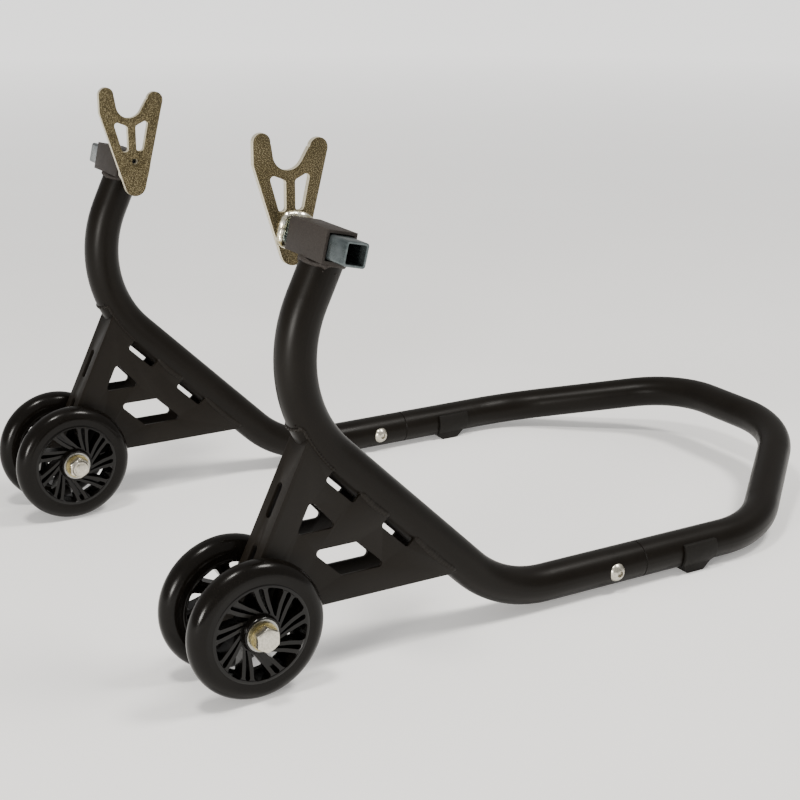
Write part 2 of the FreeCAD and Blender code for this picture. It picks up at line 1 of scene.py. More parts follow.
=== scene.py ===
import json
import math
import random
import bpy
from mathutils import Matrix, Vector

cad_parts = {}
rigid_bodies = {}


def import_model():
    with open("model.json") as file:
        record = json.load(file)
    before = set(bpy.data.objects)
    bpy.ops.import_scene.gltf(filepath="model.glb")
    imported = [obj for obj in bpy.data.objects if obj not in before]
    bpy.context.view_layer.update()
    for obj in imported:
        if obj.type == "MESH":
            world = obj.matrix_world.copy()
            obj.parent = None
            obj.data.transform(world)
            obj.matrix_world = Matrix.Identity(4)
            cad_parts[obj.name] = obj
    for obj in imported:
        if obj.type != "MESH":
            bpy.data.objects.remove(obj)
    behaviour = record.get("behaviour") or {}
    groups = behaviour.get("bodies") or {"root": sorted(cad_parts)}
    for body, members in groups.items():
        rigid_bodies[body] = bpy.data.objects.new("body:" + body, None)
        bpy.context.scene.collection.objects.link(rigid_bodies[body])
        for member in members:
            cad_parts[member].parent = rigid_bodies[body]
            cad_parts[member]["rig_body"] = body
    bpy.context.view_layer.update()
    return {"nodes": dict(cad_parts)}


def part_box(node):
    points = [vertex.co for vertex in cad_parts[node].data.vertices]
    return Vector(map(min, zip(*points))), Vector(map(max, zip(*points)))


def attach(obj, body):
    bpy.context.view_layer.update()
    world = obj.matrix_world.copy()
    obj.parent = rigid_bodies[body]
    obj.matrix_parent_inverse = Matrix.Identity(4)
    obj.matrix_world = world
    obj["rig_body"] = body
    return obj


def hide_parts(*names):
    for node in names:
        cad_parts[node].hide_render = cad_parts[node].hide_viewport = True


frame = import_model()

mergeDistance = 0.00001
sides = (("right", 1), ("left", -1))
print("frame loaded:", len(frame["nodes"]), "nodes")


def deselectAll():
    if bpy.context.object and bpy.context.object.mode != "OBJECT":
        bpy.ops.object.mode_set(mode="OBJECT")
    bpy.ops.object.select_all(action="DESELECT")


def makeActive(piece):
    deselectAll()
    piece.select_set(True)
    bpy.context.view_layer.objects.active = piece


def settle(piece):
    # puts the object at the origin, unturned and unscaled, with its place in its mesh
    makeActive(piece)
    bpy.ops.object.transform_apply(location=True, rotation=True, scale=True)


def pickFaces(piece, test):
    # leaves edit mode open with only the faces that pass selected
    bpy.ops.object.mode_set(mode="EDIT")
    bpy.ops.mesh.select_mode(type="FACE")
    bpy.ops.mesh.select_all(action="DESELECT")
    bpy.ops.object.mode_set(mode="OBJECT")
    for face in piece.data.polygons:
        face.select = test(face)
    bpy.ops.object.mode_set(mode="EDIT")


def pickPoints(piece, test):
    # leaves edit mode open with only the points that pass selected
    bpy.ops.object.mode_set(mode="EDIT")
    bpy.ops.mesh.select_mode(type="VERT")
    bpy.ops.mesh.select_all(action="DESELECT")
    bpy.ops.object.mode_set(mode="OBJECT")
    for point in piece.data.vertices:
        point.select = test(point.co)
    bpy.ops.object.mode_set(mode="EDIT")


def closeUp(piece):
    # doubles merged, then every face turned outwards
    makeActive(piece)
    bpy.ops.object.mode_set(mode="EDIT")
    bpy.ops.mesh.select_all(action="SELECT")
    bpy.ops.mesh.remove_doubles(threshold=mergeDistance)
    bpy.ops.mesh.normals_make_consistent(inside=False)
    bpy.ops.object.mode_set(mode="OBJECT")


def smooth(piece, angle):
    makeActive(piece)
    bpy.ops.object.shade_smooth_by_angle(angle=math.radians(angle))


def applyModifier(piece, kind, **values):
    makeActive(piece)
    added = piece.modifiers.new(kind.lower(), kind)
    for key, value in values.items():
        setattr(added, key, value)
    bpy.ops.object.modifier_apply(modifier=added.name)


def middleOf(node):
    low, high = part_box(node)
    return (low + high) / 2


def standFor(piece, slot, finish, *nodes):
    # the piece takes the nodes' place and body, with the given finish in its one material slot
    piece.data.materials.clear()
    piece.data.materials.append(finish)
    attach(piece, frame["nodes"][nodes[0]]["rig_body"])
    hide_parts(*nodes)


def copyPiece(piece, name, move, turn, around):
    # a copy with its own mesh, turned about an axle along X, then moved
    makeActive(piece)
    bpy.ops.object.duplicate()
    copy = bpy.context.object
    copy.name = name
    bpy.ops.object.mode_set(mode="EDIT")
    bpy.ops.mesh.select_all(action="SELECT")
    bpy.ops.transform.rotate(value=turn, orient_axis="X", center_override=around)
    bpy.ops.transform.translate(value=move)
    bpy.ops.object.mode_set(mode="OBJECT")
    return copy


noiseShape = {"roughness": 0.55, "grainDetail": 4, "patchDetail": 5, "dimpleDetail": 2, "floorDetail": 3}
# range of |normal X| over which the plate's painted edge highlight fades out
highlightFacing = (0.55, 0.95)


def addNoise(tree, place, scale, detail, stretch=None):
    noise = tree.nodes.new("ShaderNodeTexNoise")
    noise.inputs["Scale"].default_value = scale
    noise.inputs["Detail"].default_value = noiseShape[detail]
    noise.inputs["Roughness"].default_value = noiseShape["roughness"]
    if stretch:
        mapping = tree.nodes.new("ShaderNodeMapping")
        mapping.inputs["Scale"].default_value = stretch
        tree.links.new(place.outputs["Object"], mapping.inputs["Vector"])
        tree.links.new(mapping.outputs["Vector"], noise.inputs["Vector"])
    else:
        tree.links.new(place.outputs["Object"], noise.inputs["Vector"])
    return noise.outputs["Fac"]


def addRamp(tree, source, stops):
    ramp = tree.nodes.new("ShaderNodeValToRGB")
    marks = ramp.color_ramp.elements
    while len(marks) < len(stops):
        marks.new(0.5)
    for mark, (at, colour) in zip(marks, stops):
        mark.position = at
        mark.color = (*colour, 1)
    tree.links.new(source, ramp.inputs["Fac"])
    return ramp.outputs["Color"]


def addRange(tree, source, low, high, fromLow=0.3, fromHigh=0.7):
    spread = tree.nodes.new("ShaderNodeMapRange")
    for key, value in (("From Min", fromLow), ("From Max", fromHigh), ("To Min", low), ("To Max", high)):
        spread.inputs[key].default_value = value
    tree.links.new(source, spread.inputs["Value"])
    return spread.outputs["Result"]


def addBlend(tree, share, first, second, mode="MIX"):
    mix = tree.nodes.new("ShaderNodeMix")
    mix.data_type = "RGBA"
    mix.blend_type = mode
    if isinstance(share, (int, float)):
        mix.inputs[0].default_value = share
    else:
        tree.links.new(share, mix.inputs[0])
    tree.links.new(first, mix.inputs[6])
    tree.links.new(second, mix.inputs[7])
    return mix.outputs[2]


def addBump(tree, source, distance, strength, under=None):
    bump = tree.nodes.new("ShaderNodeBump")
    bump.inputs["Strength"].default_value = strength
    bump.inputs["Distance"].default_value = distance
    tree.links.new(source, bump.inputs["Height"])
    if under:
        tree.links.new(under, bump.inputs["Normal"])
    return bump.outputs["Normal"]


def makeFinish(name, look):
    finish = bpy.data.materials.new(name)
    finish.use_nodes = True
    tree = finish.node_tree
    shader = tree.nodes["Principled BSDF"]
    place = tree.nodes.new("ShaderNodeTexCoord")
    grain = addNoise(tree, place, look["grain"], "grainDetail", look.get("stretch"))
    patch = addNoise(tree, place, look["patch"], "patchDetail")
    colour = addRamp(tree, grain, look["colours"])
    shade = addRamp(tree, patch, look["patches"])
    colour = addBlend(tree, 1.0, colour, shade, "MULTIPLY")
    if "edgeHighlightColour" in look:
        # the plate's edges, away from its faces that look along X, are painted paler: a painted highlight
        # standing in for light caught on the edges
        facing = tree.nodes.new("ShaderNodeNewGeometry")
        split = tree.nodes.new("ShaderNodeSeparateXYZ")
        tree.links.new(facing.outputs["Normal"], split.inputs["Vector"])
        flat = tree.nodes.new("ShaderNodeMath")
        flat.operation = "ABSOLUTE"
        tree.links.new(split.outputs["X"], flat.inputs[0])
        # mask of the painted edge highlight, full where a face turns away from X
        edge = addRange(tree, flat.outputs["Value"], 1.0, 0.0, *highlightFacing)
        paintedHighlight = addRamp(tree, grain, look["edgeHighlightColour"])
        colour = addBlend(tree, edge, colour, paintedHighlight)
    tree.links.new(colour, shader.inputs["Base Color"])
    tree.links.new(addRange(tree, patch, *look["roughness"]), shader.inputs["Roughness"])
    normal = addBump(tree, grain, look["bump"][0], look["bump"][1])
    if "dimple" in look:
        dimple = addNoise(tree, place, look["dimple"][0], "dimpleDetail")
        normal = addBump(tree, dimple, look["dimple"][1], look["dimple"][2], normal)
    tree.links.new(normal, shader.inputs["Normal"])
    shader.inputs["Metallic"].default_value = look.get("metallic", 0)
    shader.inputs["Specular IOR Level"].default_value = look.get("specular", 0.5)
    return finish


finishLooks = {
    "powderCoat": {
        "grain": 1500, "patch": 22, "dimple": (420, 0.00010, 0.25), "bump": (0.00004, 0.3),
        "colours": ((0.3, (0.0040, 0.0031, 0.0021)), (0.7, (0.0080, 0.0063, 0.0046))),
        "patches": ((0.3, (0.8, 0.78, 0.75)), (0.7, (1, 1, 1))),
        "roughness": (0.32, 0.41), "specular": 0.12},
    "gussetPaint": {
        "grain": 1800, "patch": 30, "dimple": (500, 0.00012, 0.3), "bump": (0.00005, 0.35),
        "colours": ((0.3, (0.0055, 0.0043, 0.0030)), (0.7, (0.0115, 0.0090, 0.0064))),
        "patches": ((0.3, (0.8, 0.78, 0.75)), (0.7, (1, 1, 1))),
        "roughness": (0.42, 0.54), "specular": 0.15},
    "texturedPaint": {
        "grain": 1400, "patch": 60, "dimple": (700, 0.00020, 0.5), "bump": (0.00012, 0.6),
        "colours": ((0.3, (0.013, 0.0105, 0.0088)), (0.7, (0.036, 0.030, 0.026))),
        "patches": ((0.3, (0.85, 0.82, 0.8)), (0.7, (1, 1, 1))),
        "roughness": (0.55, 0.70), "specular": 0.25},
    "yellowZinc": {
        "grain": 1250, "patch": 45, "bump": (0.00008, 0.5), "metallic": 0.8,
        "colours": ((0.38, (0.030, 0.023, 0.010)), (0.52, (0.085, 0.066, 0.033)), (0.66, (0.40, 0.34, 0.20))),
        "patches": ((0.3, (0.72, 0.70, 0.62)), (0.7, (1, 1, 1))),
        # paler colours of the painted highlight on the plate's edges
        "edgeHighlightColour": ((0.3, (0.50, 0.45, 0.32)), (0.7, (0.80, 0.75, 0.60))),
        "roughness": (0.38, 0.52)},
    "washerZinc": {
        "grain": 700, "patch": 120, "bump": (0.00004, 0.4), "metallic": 0.95,
        "colours": ((0.3, (0.30, 0.25, 0.11)), (0.7, (0.56, 0.49, 0.27))),
        "patches": ((0.3, (0.6, 0.58, 0.48)), (0.7, (1, 1, 1))),
        "roughness": (0.22, 0.40)},
    "brightZinc": {
        "grain": 600, "patch": 150, "bump": (0.00004, 0.35), "metallic": 0.95,
        "colours": ((0.3, (0.50, 0.475, 0.41)), (0.7, (0.72, 0.68, 0.59))),
        "patches": ((0.3, (0.75, 0.75, 0.73)), (0.7, (1, 1, 1))),
        "roughness": (0.20, 0.36)},
    "barZinc": {
        "grain": 220, "patch": 90, "stretch": (0.15, 1, 1), "bump": (0.00005, 0.35), "metallic": 0.8,
        "colours": ((0.3, (0.075, 0.092, 0.098)), (0.7, (0.155, 0.175, 0.180))),
        "patches": ((0.3, (0.75, 0.78, 0.76)), (0.7, (1, 1, 1))),
        "roughness": (0.22, 0.36)},
    "weldMetal": {
        "grain": 260, "patch": 110, "bump": (0.00008, 0.35), "metallic": 0.95,
        "colours": ((0.3, (0.50, 0.45, 0.28)), (0.6, (0.90, 0.88, 0.78))),
        "patches": ((0.35, (0.36, 0.31, 0.18)), (0.55, (1, 1, 1))),
        "roughness": (0.10, 0.24)},
    "tread": {
        "grain": 900, "patch": 40, "dimple": (260, 0.00008, 0.2), "bump": (0.00003, 0.2),
        "colours": ((0.3, (0.0026, 0.0021, 0.0016)), (0.7, (0.0055, 0.0045, 0.0035))),
        "patches": ((0.3, (0.8, 0.78, 0.75)), (0.7, (1, 1, 1))),
        "roughness": (0.15, 0.25), "specular": 0.14},
    "hubPlastic": {
        "grain": 1200, "patch": 60, "bump": (0.00003, 0.25),
        "colours": ((0.3, (0.0016, 0.0013, 0.0010)), (0.7, (0.0036, 0.0031, 0.0025))),
        "patches": ((0.3, (0.8, 0.78, 0.75)), (0.7, (1, 1, 1))),
        "roughness": (0.12, 0.24), "specular": 0.26},
    "footRubber": {
        "grain": 1300, "patch": 50, "dimple": (300, 0.00015, 0.4), "bump": (0.00008, 0.5),
        "colours": ((0.3, (0.0035, 0.0029, 0.0022)), (0.7, (0.0085, 0.0072, 0.0056))),
        "patches": ((0.3, (0.8, 0.78, 0.75)), (0.7, (1, 1, 1))),
        "roughness": (0.60, 0.76), "specular": 0.2},
    "bearingSteel": {
        "grain": 800, "patch": 200, "bump": (0.00003, 0.3), "metallic": 1.0,
        "colours": ((0.3, (0.26, 0.26, 0.25)), (0.7, (0.42, 0.42, 0.40))),
        "patches": ((0.3, (0.8, 0.8, 0.78)), (0.7, (1, 1, 1))),
        "roughness": (0.22, 0.34)},
}
finishes = {name: makeFinish(name, look) for name, look in finishLooks.items()}
print("finishes made:", len(finishes))


# CAD nodes that stay, in a better finish
keptNodes = {
    "powderCoat": ("arm",),
    "texturedPaint": ("clamp_nut",),
    "washerZinc": ("axle_washers",),
    "brightZinc": ("spigot", "spigot_bush", "axle_bush", "clamp_screw"),
    "bearingSteel": ("bearings_outer", "bearings_inner", "bearing_spacer_outer", "bearing_spacer_inner"),
}


def refinish(node, finish):
    for slot in frame["nodes"][node].material_slots:
        slot.material = finishes[finish]


for finishName, nodeNames in keptNodes.items():
    for nodeName in nodeNames:
        for side, _ in sides:
            refinish(nodeName + "_" + side, finishName)
refinish("handle_tube", "powderCoat")
print("kept nodes refinished")


# pieces with rounded edges, from merged copies of their nodes
flatAngle = math.radians(1.0)
softAngle = math.radians(38)
softSmooth = 30
softEdges = {
    # node: (finish, material slot, edge radius, segments)
    "gusset": ("gussetPaint", "powder_coat", 0.0007, 2),
    "socket": ("texturedPaint", "textured_paint", 0.0011, 3),
    "fork_plate": ("yellowZinc", "yellow_zinc", 0.0004, 2),
    "fork_bar": ("barZinc", "bright_zinc", 0.0003, 2),
    "axle_bolt": ("brightZinc", "bright_zinc", 0.0004, 2),
    "axle_nut": ("brightZinc", "bright_zinc", 0.0004, 2),
    "joint_screws": ("brightZinc", "bright_zinc", 0.00025, 2),
    "rear_foot": ("footRubber", "foot_rubber", 0.0009, 3),
}


def softenNode(node, name, radius, segments):
    piece = bpy.data.objects.new(name, frame["nodes"][node].data.copy())
    bpy.context.scene.collection.objects.link(piece)
    makeActive(piece)
    bpy.ops.mesh.customdata_custom_splitnormals_clear()
    closeUp(piece)
    bpy.ops.object.mode_set(mode="EDIT")
    bpy.ops.mesh.select_all(action="SELECT")
    bpy.ops.mesh.dissolve_limited(angle_limit=flatAngle)
    bpy.ops.object.mode_set(mode="OBJECT")
    applyModifier(piece, "BEVEL", width=radius, segments=segments, limit_method="ANGLE",
                  angle_limit=softAngle, use_clamp_overlap=True)
    smooth(piece, softSmooth)
    return piece


for nodeName, (finishName, slotName, edgeRadius, edgeSegments) in softEdges.items():
    for side, _ in sides:
        node = nodeName + "_" + side
        softened = softenNode(node, node + "_soft", edgeRadius, edgeSegments)
        standFor(softened, slotName, finishes[finishName], node)
print("edges rounded")


wheelShape = {
    "tyreSteps": ((0.0006, -0.00020), (0.0030, 0.0), (0.0005, -0.0002)),
    "crownSegments": 14, "crownMargin": 0.00005, "tyreSides": 128, "hubSides": 120,
    "roughlySideways": 0.99, "sideways": 0.9999, "tyreSmooth": 30, "hubSmooth": 35,
    # inset and rise of each ring, from the rim inwards; the back of the hub is hollowed
    "frontSteps": ((0.0006, 0.0004), (0.0022, 0.0), (0.0006, -0.0006), (0.0100, -0.0012), (0.0130, -0.0010)),
    "backSteps": ((0.0006, 0.0004), (0.0022, 0.0), (0.0006, -0.0094), (0.0100, -0.0002), (0.0130, 0.0)),
    "bossSteps": ((0.0006, 0.0008), (0.0010, 0.0), (0.0002, -0.0005), (0.00001, -0.0077), (0.0050, 0.0)),
    "frontBoss": (0.0006, 0.0038), "backBoss": (0.0006, 0.0106),
    "spokes": 9,
    # distance from the axle, half width and corner, at the boss end and at the rim end
    "window": ((0.0180, 0.0014, 0.0012), (0.0402, 0.0084, 0.0042)),
    "groove": ((0.0172, 0.0010, 0.0009), (0.0398, 0.0024, 0.0022)),
    "cutDepth": 0.020, "windowFloor": -0.0060, "grooveFloor": 0.0045,
    "longEdge": 0.004, "edgeCuts": 17, "cornerSegments": 6,
    "swirl": math.radians(27), "swirlBands": 70,
    "cutterTurn": 0.0137,  # turns all the openings a little against the hub mesh
    "rimRadius": 0.043, "rimWidth": 0.023,
    "edgeRadius": 0.0005, "edgeAngle": math.radians(50),
}


def turnEndFaces(piece, frontSteps, backSteps):
    # each flat end is stepped in ring by ring, then the bore is opened through
    for facing, steps in ((1, frontSteps), (-1, backSteps)):
        pickFaces(piece, lambda face: face.normal.x * facing > wheelShape["sideways"])
        for thickness, depth in steps:
            bpy.ops.mesh.inset(thickness=thickness, depth=depth)
        bpy.ops.mesh.delete(type="FACE")
        bpy.ops.object.mode_set(mode="OBJECT")
    bpy.ops.object.mode_set(mode="EDIT")
    bpy.ops.mesh.select_mode(type="EDGE")
    bpy.ops.mesh.select_all(action="DESELECT")
    bpy.ops.mesh.select_non_manifold()
    bpy.ops.mesh.bridge_edge_loops()
    bpy.ops.object.mode_set(mode="OBJECT")


def makeTyre(centre, low, high):
    radius, width = (high.z - low.z) / 2, high.x - low.x
    bpy.ops.mesh.primitive_cylinder_add(vertices=wheelShape["tyreSides"], radius=radius, depth=width,
                                        location=centre, rotation=(0, math.pi / 2, 0))
    tyre = bpy.context.object
    tyre.name = "tyre_master"
    settle(tyre)
    pickFaces(tyre, lambda face: abs(face.normal.x) > wheelShape["roughlySideways"])
    bpy.ops.mesh.region_to_loop()
    crown = width / 2 - wheelShape["crownMargin"]
    bpy.ops.mesh.bevel(offset=crown, segments=wheelShape["crownSegments"], profile=0.5, affect="EDGES")
    bpy.ops.object.mode_set(mode="OBJECT")
    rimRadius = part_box("hub_" + firstNode)[1].z - centre.z
    steps = list(wheelShape["tyreSteps"])
    steps.append((radius - crown - rimRadius - sum(step[0] for step in steps), 0.0))
    turnEndFaces(tyre, steps, steps)
    closeUp(tyre)
    smooth(tyre, wheelShape["tyreSmooth"])
    return tyre


def reachFromAxle(centre, point):
    return math.hypot(point.y - centre.y, point.z - centre.z)


def splitLongEdges(piece, longest):
    bpy.ops.object.mode_set(mode="EDIT")
    bpy.ops.mesh.select_mode(type="EDGE")
    bpy.ops.mesh.select_all(action="DESELECT")
    bpy.ops.object.mode_set(mode="OBJECT")
    points = piece.data.vertices
    for edge in piece.data.edges:
        start, end = (points[i].co for i in edge.vertices)
        edge.select = (end - start).length > longest
    bpy.ops.object.mode_set(mode="EDIT")
    bpy.ops.mesh.subdivide(number_cuts=wheelShape["edgeCuts"])


def makeWedge(centre, front, ends):
    # a flat tapering opening with rounded corners, standing above the axle
    (low, *_), (high, *_) = ends
    bpy.ops.mesh.primitive_plane_add(size=2, location=centre + Vector((front, 0, (low + high) / 2)),
                                     rotation=(0, math.pi / 2, 0))
    wedge = bpy.context.object
    bpy.ops.object.transform_apply(location=False, rotation=True, scale=False)
    wedge.scale = (1, 1, (high - low) / 2)
    settle(wedge)
    middle = centre.z + (low + high) / 2
    for up, (_, halfWidth, _) in zip((-1, 1), ends):
        pickPoints(wedge, lambda co: (co.z - middle) * up > 0)
        bpy.ops.transform.resize(value=(1, halfWidth, 1), center_override=centre)
    for up, (_, _, corner) in zip((-1, 1), ends):
        pickPoints(wedge, lambda co: (co.z - middle) * up > 0)
        bpy.ops.mesh.bevel(offset=corner, segments=wheelShape["cornerSegments"], affect="VERTICES",
                           clamp_overlap=True)
    bpy.ops.object.mode_set(mode="OBJECT")
    return wedge


def makeHubCutter(centre):
    # one window and one groove, swirled, then spun round the axle
    shape = wheelShape
    window = makeWedge(centre, shape["windowFloor"], shape["window"])
    groove = makeWedge(centre, shape["grooveFloor"], shape["groove"])
    makeActive(groove)
    bpy.ops.object.mode_set(mode="EDIT")
    bpy.ops.mesh.select_all(action="SELECT")
    bpy.ops.transform.rotate(value=math.pi / shape["spokes"], orient_axis="X", center_override=centre)
    bpy.ops.object.mode_set(mode="OBJECT")
    makeActive(window)
    groove.select_set(True)
    bpy.ops.object.join()
    splitLongEdges(window, shape["longEdge"])
    first, last = shape["window"][0][0], shape["window"][1][0]
    bands = shape["swirlBands"]
    rings = [first + (last - first) * (band + 0.5) / bands for band in range(bands)]
    total = sum(1 / ring ** 3 for ring in rings)
    for ring in rings:
        # the swirl is strongest near the boss
        pickPoints(window, lambda co: reachFromAxle(centre, co) > ring)
        bpy.ops.transform.rotate(value=-shape["swirl"] / ring ** 3 / total, orient_axis="X",
                                 center_override=centre)
    bpy.ops.mesh.select_all(action="SELECT")
    bpy.ops.mesh.extrude_region_move(TRANSFORM_OT_translate={"value": (shape["cutDepth"], 0, 0)})
    bpy.ops.mesh.select_all(action="SELECT")
    bpy.ops.mesh.spin(steps=shape["spokes"] - 1, dupli=True, center=centre, axis=(1, 0, 0),
                      angle=2 * math.pi * (shape["spokes"] - 1) / shape["spokes"])
    bpy.ops.mesh.select_all(action="SELECT")
    bpy.ops.transform.rotate(value=shape["cutterTurn"], orient_axis="X", center_override=centre)
    bpy.ops.mesh.normals_make_consistent(inside=False)
    bpy.ops.object.mode_set(mode="OBJECT")
    return window


def makeHub(centre):
    shape = wheelShape
    bpy.ops.mesh.primitive_cylinder_add(vertices=shape["hubSides"], radius=shape["rimRadius"],
                                        depth=shape["rimWidth"], location=centre,
                                        rotation=(0, math.pi / 2, 0))
    hub = bpy.context.object
    hub.name = "hub_master"
    settle(hub)
    turnEndFaces(hub, (*shape["frontSteps"], shape["frontBoss"], *shape["bossSteps"]),
                 (*shape["backSteps"], shape["backBoss"], *shape["bossSteps"]))
    closeUp(hub)
    cutter = makeHubCutter(centre)
    applyModifier(hub, "BOOLEAN", operation="DIFFERENCE", object=cutter, solver="EXACT")
    bpy.data.objects.remove(cutter)
    closeUp(hub)
    # the ring-shaped faces left by the cut are split into triangles before their edges are rounded
    bpy.ops.object.mode_set(mode="EDIT")
    bpy.ops.mesh.select_all(action="SELECT")
    bpy.ops.mesh.quads_convert_to_tris(ngon_method="CLIP")
    bpy.ops.object.mode_set(mode="OBJECT")
    applyModifier(hub, "BEVEL", width=shape["edgeRadius"], segments=2, limit_method="ANGLE",
                  angle_limit=shape["edgeAngle"], use_clamp_overlap=True)
    smooth(hub, shape["hubSmooth"])
    return hub


wheelTurns = {"outer_right": 0.10, "inner_right": 0.62, "outer_left": 0.95, "inner_left": 0.33}
firstNode = "outer_right"
hubCentre = middleOf("hub_" + firstNode)
tyreMaster = makeTyre(hubCentre, *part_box("tyre_" + firstNode))
hubMaster = makeHub(hubCentre)
for place, turn in wheelTurns.items():
    move = middleOf("hub_" + place) - hubCentre
    tyrePiece = copyPiece(tyreMaster, "tyre_" + place + "_tread", move, turn, hubCentre)
    standFor(tyrePiece, "polyurethane", finishes["tread"], "tyre_" + place)
    hubPiece = copyPiece(hubMaster, "hub_" + place + "_spokes", move, turn, hubCentre)
    standFor(hubPiece, "hub_plastic", finishes["hubPlastic"], "hub_" + place)
bpy.data.objects.remove(tyreMaster)
bpy.data.objects.remove(hubMaster)
print("wheels made")


# the arm tube's middle line, which the welds follow
armLine = {"offset": 0.220, "tubeRadius": 0.0175, "bend": 0.1185, "centreY": -0.16815,
           "centreZ": 0.268, "slope": math.radians(44), "halfGusset": 0.014}
beadShape = {
    "voxel": 0.00055, "lump": 0.0100, "lumpDepth": 0.0012, "pitch": 0.0034, "step": 0.0006,
    "poolDraw": (0.8, 1.2), "endRadius": 0.45, "meltRounds": 4, "meltFactor": 0.5, "smoothAngle": 60,
}
lumps = bpy.data.textures.new("weldLumps", "CLOUDS")
lumps.noise_scale = beadShape["lump"]


def beadRun(points, radius, seed, ripple, closed=False, pitch=beadShape["pitch"]):
    # a round bead along the points, swelling and shrinking with each weld pool
    chance = random.Random(seed)
    steps = []
    ends = list(zip(points, points[1:] + points[:1] if closed else points[1:]))
    for start, end in ends:
        count = max(1, round((end - start).length / beadShape["step"]))
        steps += [start.lerp(end, i / count) for i in range(count)]
    if not closed:
        steps.append(points[-1])
    line = bpy.data.curves.new("bead", "CURVE")
    line.dimensions = "3D"
    line.bevel_depth = 1.0
    line.bevel_resolution = 3
    line.use_fill_caps = True
    spline = line.splines.new("POLY")
    spline.points.add(len(steps) - 1)
    spline.use_cyclic_u = closed
    pool = 0.0
    endRadius = beadShape["endRadius"]
    for number, (point, step) in enumerate(zip(spline.points, steps)):
        pool += beadShape["step"] / pitch * chance.uniform(*beadShape["poolDraw"])
        point.co = (*step, 1)
        point.radius = radius * (1 - ripple + 2 * ripple * abs(math.sin(math.pi * pool)))
        if not closed:
            nearEnd = min(number, len(steps) - 1 - number) * beadShape["step"]
            point.radius *= min(1.0, endRadius + (1 - endRadius) * nearEnd / radius)
    bead = bpy.data.objects.new("bead", line)
    bpy.context.scene.collection.objects.link(bead)
    makeActive(bead)
    bpy.ops.object.convert(target="MESH")
    return bpy.context.object


def spatterBall(place, radius):
    bpy.ops.mesh.primitive_ico_sphere_add(subdivisions=2, radius=radius, location=place)
    ball = bpy.context.object
    settle(ball)
    return ball


def joinAndMelt(name, parts, depth):
    # runs and balls flow into one lumpy skin
    makeActive(parts[0])
    for part in parts[1:]:
        part.select_set(True)
    bpy.ops.object.join()
    weld = bpy.context.object
    weld.name = name
    applyModifier(weld, "REMESH", mode="VOXEL", voxel_size=beadShape["voxel"])
    applyModifier(weld, "DISPLACE", texture=lumps, texture_coords="LOCAL",
                  strength=beadShape["lumpDepth"] * depth, mid_level=0.5)
    applyModifier(weld, "SMOOTH", iterations=beadShape["meltRounds"], factor=beadShape["meltFactor"])
    closeUp(weld)
    smooth(weld, beadShape["smoothAngle"])
    return weld


def offTube(hand, across, turn, extra):
    # a point under the bend, at a turn round its centre, on the tube's surface
    reach = math.sqrt(armLine["tubeRadius"] ** 2 - across ** 2) + extra
    radius = armLine["bend"] + reach
    return Vector((hand * armLine["offset"] + across, armLine["centreY"] - radius * math.cos(turn),
                   armLine["centreZ"] - radius * math.sin(turn)))


def offDiagonal(hand, across, along, extra):
    # a point under the straight diagonal, measured along it from the end of the bend
    turn = math.pi / 2 - armLine["slope"]
    start = offTube(hand, across, turn, extra)
    return start + Vector((0, math.cos(armLine["slope"]), -math.sin(armLine["slope"]))) * along


gussetWeldShape = {
    "radius": 0.0046, "sink": 0.0031, "thinRadius": 0.0016, "thinSink": 0.0006,
    "headTurn": math.radians(23.8), "headBack": 0.004, "headSink": 0.0006, "headFactor": 1.2,
    "bendEnd": 0.0845, "runEnd": -0.0010, "runSwell": 0.0022,
    "runs": ((0.116, 0.157), (0.189, 0.251)),
    "arcSteps": 12, "runSteps": 8, "headSteps": 10,
    "thinRipple": 0.2, "ripple": 0.02, "depth": 0.6,
    "arcSeed": 11, "runSeed": 21, "headSeed": 31,
    # across the tube, turn from the head
    "spatter": ((0.012, -0.02), (-0.011, -0.03), (0.009, -0.035), (0.0135, 0.03)),
    "spatterRadius": 0.0011, "spatterLift": 0.0001,
}


def makeGussetWeld(side, hand):
    shape = gussetWeldShape
    edge = armLine["halfGusset"]
    arcSteps, runSteps, headSteps = shape["arcSteps"], shape["runSteps"], shape["headSteps"]
    headTurn = shape["headTurn"]
    lastTurn = math.pi / 2 - armLine["slope"]
    parts = []
    for flank in (1, -1):
        lean = Vector((-flank * shape["thinSink"], 0, 0))
        arc = [offTube(hand, flank * edge, headTurn + (lastTurn - headTurn) * i / arcSteps, 0.0) + lean
               for i in range(arcSteps + 1)]
        parts.append(beadRun(arc, shape["thinRadius"], shape["arcSeed"] + flank, shape["thinRipple"]))
        lean = Vector((-flank * shape["sink"], 0, 0))
        for number, (start, end) in enumerate(shape["runs"]):
            places = [start + (end - start) * i / runSteps for i in range(runSteps + 1)]
            fillet = [offDiagonal(hand, flank * edge, place - shape["bendEnd"],
                                  shape["runEnd"] + shape["runSwell"] * math.sin(math.pi * i / runSteps))
                      + lean for i, place in enumerate(places)]
            seed = shape["runSeed"] + number + flank * 3
            parts.append(beadRun(fillet, shape["radius"], seed, shape["ripple"]))
    head = [offTube(hand, -edge + 2 * edge * i / headSteps, headTurn - shape["headBack"],
                    -shape["headSink"]) for i in range(headSteps + 1)]
    parts.append(beadRun(head, shape["thinRadius"] * shape["headFactor"], shape["headSeed"],
                         shape["thinRipple"]))
    for across, turn in shape["spatter"]:
        place = offTube(hand, hand * across, headTurn + turn, shape["spatterLift"])
        parts.append(spatterBall(place, shape["spatterRadius"]))
    weld = joinAndMelt("gusset_weld_" + side + "_beads", parts, shape["depth"])
    standFor(weld, "powder_coat", finishes["gussetPaint"], "gusset_weld_" + side)


